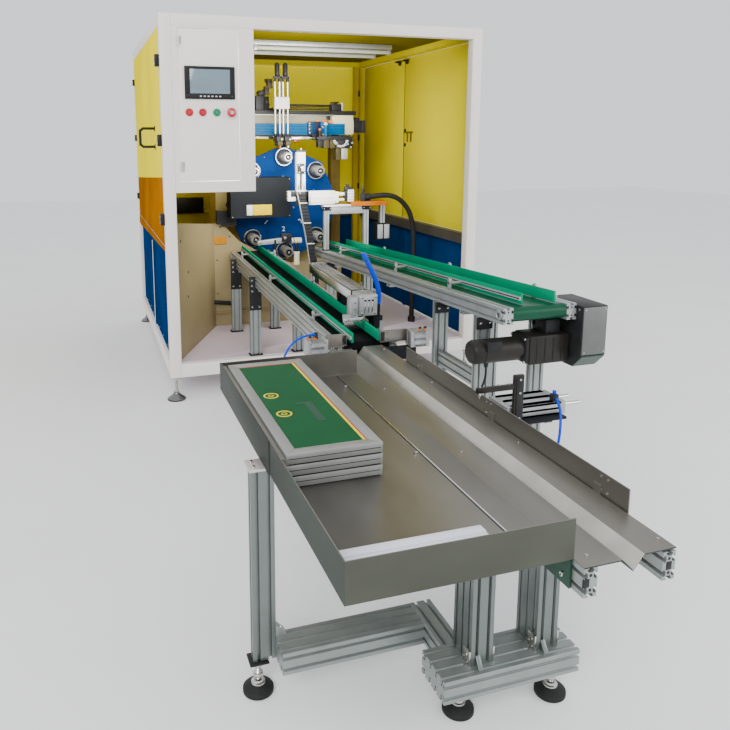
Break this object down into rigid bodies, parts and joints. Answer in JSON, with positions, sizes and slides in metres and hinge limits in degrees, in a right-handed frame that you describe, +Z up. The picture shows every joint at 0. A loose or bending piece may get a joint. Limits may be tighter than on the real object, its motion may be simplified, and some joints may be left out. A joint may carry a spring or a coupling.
{
  "type": "screen printing carousel",
  "caption": "Automatic tube screen printing machine: a carousel of spindles in an enclosed cabinet, with infeed and outfeed conveyors and a loading table.",
  "frame": {"origin": "middle of the footprint at floor level", "axes": "+X to the operator's right, +Y from the loading table towards the back of the cabinet, +Z up"},
  "size_m": [2, 4.7339, 2.03],
  "materials": {
    "white_paint": "satin powder coat",
    "blue_paint": "satin powder coat",
    "yellow_sheet": "polished acrylic",
    "tan_paint": "satin enamel",
    "machine_paint": "satin enamel",
    "disc_blue": "anodised blue",
    "aluminium": "anodised extrusion",
    "bright_steel": "ground and polished",
    "sheet_steel": "brushed stainless sheet",
    "dark_metal": "black oxide and black paint",
    "black_plastic": "matte",
    "belt_rubber": "fabric-backed belt",
    "guide_green": "cut UHMW strip",
    "red_plastic": "gloss",
    "green_plastic": "gloss",
    "blue_tube": "polyurethane tube",
    "foot_rubber": "moulded"
  },
  "bodies": {
    "machine": {"cabinet_posts": "white_paint", "cabinet_rails": "white_paint", "roof_and_floor": "white_paint", "back_panel": "yellow_sheet", "lower_panels": "blue_paint", "control_box": "white_paint", "machine_bed": "tan_paint", "drive_pedestal": "machine_paint", "guard_box": "dark_metal", "head_beam": "dark_metal", "loader_stand": "aluminium", "infeed_frame": "aluminium", "outfeed_frame": "aluminium", "conveyor_belts": "belt_rubber", "guide_rails": "guide_green", "support_posts": "aluminium", "air_cylinders": "aluminium", "outfeed_drive": "dark_metal", "tray_table": "sheet_steel", "chute": "sheet_steel", "table_frame": "aluminium", "levelling_feet": "foot_rubber", "print_screens": "aluminium", "ejector_stand": "aluminium", "cable_conduit": "black_plastic", "motor_cable": "black_plastic", "gate_hose": "blue_tube", "hose_bundle": "blue_tube", "ejector_hose": "blue_tube"},
    "carousel": {"carousel_disc": "disc_blue", "station_rings": "bright_steel", "carousel_shaft": "bright_steel"},
    "squeegee": {"squeegee": "bright_steel"},
    "flood_bar": {"flood_bar": "bright_steel"},
    "screen_carriage": {"screen_carriage": "aluminium"},
    "infeed_drive_roller": {"infeed_drive_roller": "bright_steel"},
    "infeed_tail_roller": {"infeed_tail_roller": "bright_steel"},
    "outfeed_drive_roller": {"outfeed_drive_roller": "bright_steel"},
    "outfeed_tail_roller": {"outfeed_tail_roller": "bright_steel"},
    "infeed_pusher": {"infeed_pusher": "bright_steel"},
    "left_gate": {"left_gate": "bright_steel"},
    "right_gate": {"right_gate": "bright_steel"},
    "ejector_slide": {"ejector_slide": "bright_steel"},
    "loader_slide": {"loader_slide": "bright_steel"},
    "screen_door": {"screen_door": "white_paint"},
    "stop_button": {"stop_button": "red_plastic"},
    "reset_button": {"reset_button": "red_plastic"},
    "start_button": {"start_button": "green_plastic"},
    "emergency_stop": {"emergency_stop": "red_plastic"},
    "left_door": {"left_door": "yellow_sheet"},
    "right_door_front": {"right_door_front": "yellow_sheet"},
    "right_door_back": {"right_door_back": "yellow_sheet"},
    "mandrel_1": {"mandrel_1": "bright_steel"},
    "mandrel_2": {"mandrel_2": "bright_steel"},
    "mandrel_3": {"mandrel_3": "bright_steel"},
    "mandrel_4": {"mandrel_4": "bright_steel"},
    "mandrel_5": {"mandrel_5": "bright_steel"},
    "mandrel_6": {"mandrel_6": "bright_steel"},
    "mandrel_7": {"mandrel_7": "bright_steel"},
    "mandrel_8": {"mandrel_8": "bright_steel"}
  },
  "joints": [
    {"name": "carousel_turn", "type": "hinge", "parent": "machine", "child": "carousel", "pos_m": [-0.047, 1.342, 0.98], "axis": [0, 1, 0], "continuous": true},
    {"name": "mandrel_1_spin", "type": "hinge", "parent": "carousel", "child": "mandrel_1", "pos_m": [0.263, 1.327, 0.98], "axis": [0, 1, 0], "continuous": true},
    {"name": "mandrel_2_spin", "type": "hinge", "parent": "carousel", "child": "mandrel_2", "pos_m": [0.1722, 1.327, 1.1992], "axis": [0, 1, 0], "continuous": true},
    {"name": "mandrel_3_spin", "type": "hinge", "parent": "carousel", "child": "mandrel_3", "pos_m": [-0.047, 1.327, 1.29], "axis": [0, 1, 0], "continuous": true},
    {"name": "mandrel_4_spin", "type": "hinge", "parent": "carousel", "child": "mandrel_4", "pos_m": [-0.2662, 1.327, 1.1992], "axis": [0, 1, 0], "continuous": true},
    {"name": "mandrel_5_spin", "type": "hinge", "parent": "carousel", "child": "mandrel_5", "pos_m": [-0.357, 1.327, 0.98], "axis": [0, 1, 0], "continuous": true},
    {"name": "mandrel_6_spin", "type": "hinge", "parent": "carousel", "child": "mandrel_6", "pos_m": [-0.2662, 1.327, 0.7608], "axis": [0, 1, 0], "continuous": true},
    {"name": "mandrel_7_spin", "type": "hinge", "parent": "carousel", "child": "mandrel_7", "pos_m": [-0.047, 1.327, 0.67], "axis": [0, 1, 0], "continuous": true},
    {"name": "mandrel_8_spin", "type": "hinge", "parent": "carousel", "child": "mandrel_8", "pos_m": [0.1722, 1.327, 0.7608], "axis": [0, 1, 0], "continuous": true},
    {"name": "squeegee_lift", "type": "slide", "parent": "machine", "child": "squeegee", "axis": [0, 0, 1], "range_m": [-0.018, 0.03]},
    {"name": "flood_bar_lift", "type": "slide", "parent": "machine", "child": "flood_bar", "axis": [0, 0, 1], "range_m": [-0.018, 0.03]},
    {"name": "screen_carriage_travel", "type": "slide", "parent": "machine", "child": "screen_carriage", "axis": [1, 0, 0], "range_m": [-0.1, 0.15]},
    {"name": "infeed_drive_roller_turn", "type": "hinge", "parent": "machine", "child": "infeed_drive_roller", "pos_m": [-0.31, -0.83723, 0.61271], "axis": [1, 0, 0], "continuous": true},
    {"name": "infeed_tail_roller_turn", "type": "hinge", "parent": "machine", "child": "infeed_tail_roller", "pos_m": [-0.31, 1.16199, 0.66855], "axis": [1, 0, 0], "continuous": true},
    {"name": "outfeed_drive_roller_turn", "type": "hinge", "parent": "machine", "child": "outfeed_drive_roller", "pos_m": [0.225, -1.1713, 0.79089], "axis": [1, 0, 0], "continuous": true},
    {"name": "outfeed_tail_roller_turn", "type": "hinge", "parent": "machine", "child": "outfeed_tail_roller", "pos_m": [0.225, 1.07639, 0.68883], "axis": [1, 0, 0], "continuous": true},
    {"name": "pusher_stroke", "type": "slide", "parent": "machine", "child": "infeed_pusher", "axis": [0, 0.9996, 0.0279], "range_m": [0, 0.4]},
    {"name": "left_gate_stroke", "type": "slide", "parent": "machine", "child": "left_gate", "axis": [1, 0, 0], "range_m": [0, 0.045]},
    {"name": "right_gate_stroke", "type": "slide", "parent": "machine", "child": "right_gate", "axis": [-1, 0, 0], "range_m": [0, 0.045]},
    {"name": "ejector_stroke", "type": "slide", "parent": "machine", "child": "ejector_slide", "axis": [1, 0, 0], "range_m": [-0.02, 0]},
    {"name": "loader_stroke", "type": "slide", "parent": "machine", "child": "loader_slide", "axis": [0, 0, 1], "range_m": [-0.09, 0.06]},
    {"name": "screen_door_swing", "type": "hinge", "parent": "machine", "child": "screen_door", "pos_m": [-0.822, 0.462, 1.574], "axis": [0, 0, -1], "range_deg": [0, 110]},
    {"name": "stop_button_press", "type": "slide", "parent": "screen_door", "child": "stop_button", "axis": [0, 1, 0], "range_m": [0, 0.004], "stiffness_N_per_m": 400},
    {"name": "reset_button_press", "type": "slide", "parent": "screen_door", "child": "reset_button", "axis": [0, 1, 0], "range_m": [0, 0.004], "stiffness_N_per_m": 400},
    {"name": "start_button_press", "type": "slide", "parent": "screen_door", "child": "start_button", "axis": [0, 1, 0], "range_m": [0, 0.004], "stiffness_N_per_m": 400},
    {"name": "emergency_stop_press", "type": "slide", "parent": "screen_door", "child": "emergency_stop", "axis": [0, 1, 0], "range_m": [0, 0.004], "stiffness_N_per_m": 400},
    {"name": "left_door_swing", "type": "hinge", "parent": "machine", "child": "left_door", "pos_m": [-0.922, 2.296, 1.405], "axis": [0, 0, -1], "range_deg": [0, 110]},
    {"name": "right_door_front_swing", "type": "hinge", "parent": "machine", "child": "right_door_front", "pos_m": [0.922, 0.528, 1.405], "axis": [0, 0, -1], "range_deg": [0, 110]},
    {"name": "right_door_back_swing", "type": "hinge", "parent": "machine", "child": "right_door_back", "pos_m": [0.922, 2.296, 1.405], "axis": [0, 0, 1], "range_deg": [0, 110]}
  ],
  "couplings": [
    {"joint": "infeed_tail_roller_turn", "follows": "infeed_drive_roller_turn", "ratio": 1},
    {"joint": "outfeed_tail_roller_turn", "follows": "outfeed_drive_roller_turn", "ratio": 1}
  ]
}
